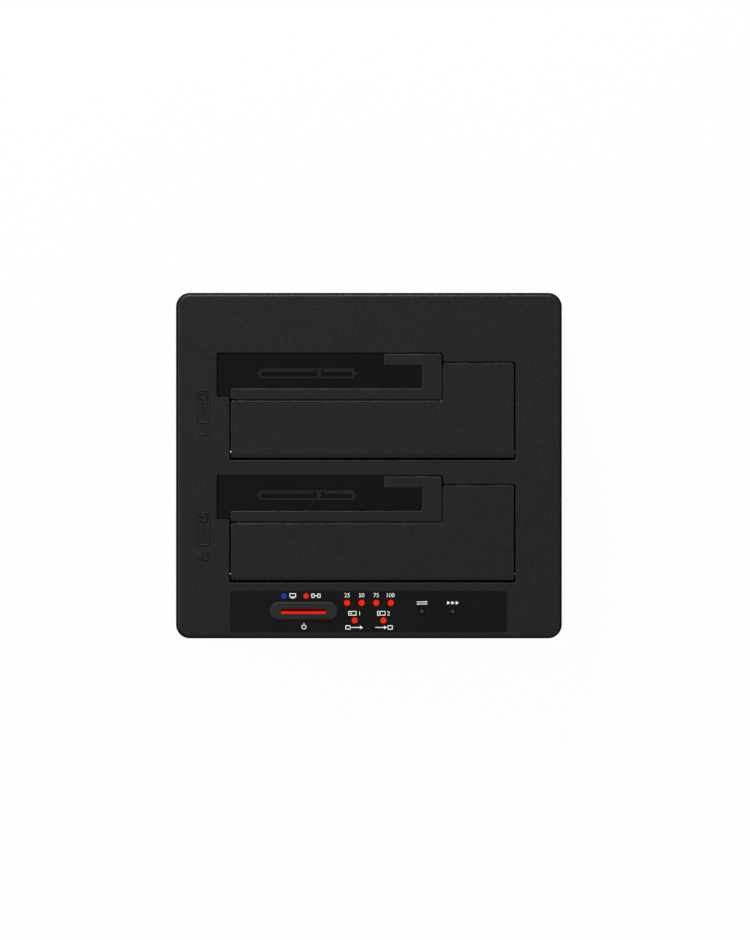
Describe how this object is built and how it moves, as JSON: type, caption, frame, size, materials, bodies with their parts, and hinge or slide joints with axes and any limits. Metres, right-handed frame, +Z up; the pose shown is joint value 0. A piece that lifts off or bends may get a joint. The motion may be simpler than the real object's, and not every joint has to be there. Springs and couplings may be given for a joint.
{
  "type": "drive duplicator dock",
  "caption": "Two-bay desktop dock that holds and copies storage drives: sprung bay doors with guide frames, drive sockets, a control panel with lights and buttons, and rear ports.",
  "frame": {"origin": "centre of the footprint, on the surface that the feet stand on", "axes": "+X to the right, +Y to the rear with the ports, +Z up"},
  "size_m": [0.134, 0.12, 0.0626],
  "materials": {
    "blue_lens": "lit blue light pipe",
    "board_laminate": "green solder mask over laminate",
    "button_plastic": "satin black cap",
    "capacitor_can": "aluminium can",
    "case_plastic": "fine spark-eroded grain, black",
    "chip_resin": "moulded epoxy with tinned leads",
    "contact_gold": "gold flashed contacts",
    "crystal_can": "drawn nickel silver can",
    "door_plastic": "fine grain, black",
    "foot_rubber": "matt black rubber",
    "guide_plastic": "fine grain, black",
    "inductor_ferrite": "sintered ferrite",
    "jack_pin_plate": "nickel plated pin",
    "jack_plastic": "black nylon",
    "lamp_package": "surface mount lamps",
    "light_bar_lens": "lit red light bar",
    "liner_plastic": "moulded, black",
    "panel_gloss": "satin black panel",
    "pin_steel": "drawn steel rod",
    "plug_plastic": "cream plug housings",
    "plunger_plastic": "natural nylon plungers",
    "port_insert_plastic": "blue moulded insert",
    "port_shell_plate": "nickel plated steel shell",
    "push_button_plastic": "polished black dome",
    "red_lens": "lit red light pipes",
    "ribbon_jacket": "flat white jumper cable",
    "screw_steel": "zinc plated steel",
    "socket_plastic": "glass-filled nylon, black",
    "spring_steel": "drawn spring wire",
    "surface_ceramic": "ceramic chip parts",
    "switch_plastic": "black switch bodies",
    "tray_plastic": "fine grain, black"
  },
  "bodies": {
    "case": {"base_tray": "tray_plastic", "bay_liner_1": "liner_plastic", "bay_liner_2": "liner_plastic", "bay_liner_screws": "screw_steel", "blue_light_pipe": "blue_lens", "bridge_chip": "chip_resin", "button_switches": "switch_plastic", "case_screws": "screw_steel", "clock_crystal": "crystal_can", "control_panel": "panel_gloss", "dc_jack_housing": "jack_plastic", "dc_jack_pin": "jack_pin_plate", "door_spring_1": "spring_steel", "door_spring_2": "spring_steel", "filter_capacitors": "capacitor_can", "firmware_chip": "chip_resin", "hinge_pin_1": "pin_steel", "hinge_pin_2": "pin_steel", "indicator_leds": "lamp_package", "main_board": "board_laminate", "main_board_screws": "screw_steel", "panel_board": "board_laminate", "panel_board_screws": "screw_steel", "power_inductors": "inductor_ferrite", "power_switch_body": "switch_plastic", "red_light_pipes": "red_lens", "ribbon_cable": "ribbon_jacket", "ribbon_plugs": "plug_plastic", "rubber_feet": "foot_rubber", "sata_contacts_1": "contact_gold", "sata_contacts_2": "contact_gold", "sata_socket_1": "socket_plastic", "sata_socket_2": "socket_plastic", "surface_parts": "surface_ceramic", "top_cover": "case_plastic", "usb_contacts": "contact_gold", "usb_port_insert": "port_insert_plastic", "usb_port_shell": "port_shell_plate"},
    "door_1": {"bay_door_1": "door_plastic", "drive_guide_frame_1": "guide_plastic", "guide_frame_screws_1": "screw_steel"},
    "door_2": {"bay_door_2": "door_plastic", "drive_guide_frame_2": "guide_plastic", "guide_frame_screws_2": "screw_steel"},
    "power_key": {"power_button": "button_plastic", "power_light_bar": "light_bar_lens", "power_switch_plunger": "plunger_plastic"},
    "mode_key": {"mode_button": "push_button_plastic", "mode_switch_plunger": "plunger_plastic"},
    "start_key": {"start_button": "push_button_plastic", "start_switch_plunger": "plunger_plastic"}
  },
  "joints": [
    {"name": "door_1_hinge", "type": "hinge", "parent": "case", "child": "door_1", "pos_m": [0.00122, 0.00455, 0.0584], "axis": [-1, 0, 0], "range_deg": [0, 88], "stiffness_Nm_per_rad": 0.004, "springref_deg": -85.94, "deforming": ["door_spring_1"]},
    {"name": "door_2_hinge", "type": "hinge", "parent": "case", "child": "door_2", "pos_m": [0.00122, -0.03795, 0.0584], "axis": [-1, 0, 0], "range_deg": [0, 88], "stiffness_Nm_per_rad": 0.004, "springref_deg": -85.94, "deforming": ["door_spring_2"]},
    {"name": "power_button_press", "type": "slide", "parent": "case", "child": "power_key", "axis": [0, 0, -1], "range_m": [0, 0.0015], "stiffness_N_per_m": 700, "springref_m": -0.001},
    {"name": "mode_button_press", "type": "slide", "parent": "case", "child": "mode_key", "axis": [0, 0, -1], "range_m": [0, 0.0005], "stiffness_N_per_m": 600, "springref_m": -0.001},
    {"name": "start_button_press", "type": "slide", "parent": "case", "child": "start_key", "axis": [0, 0, -1], "range_m": [0, 0.0005], "stiffness_N_per_m": 600, "springref_m": -0.001}
  ]
}
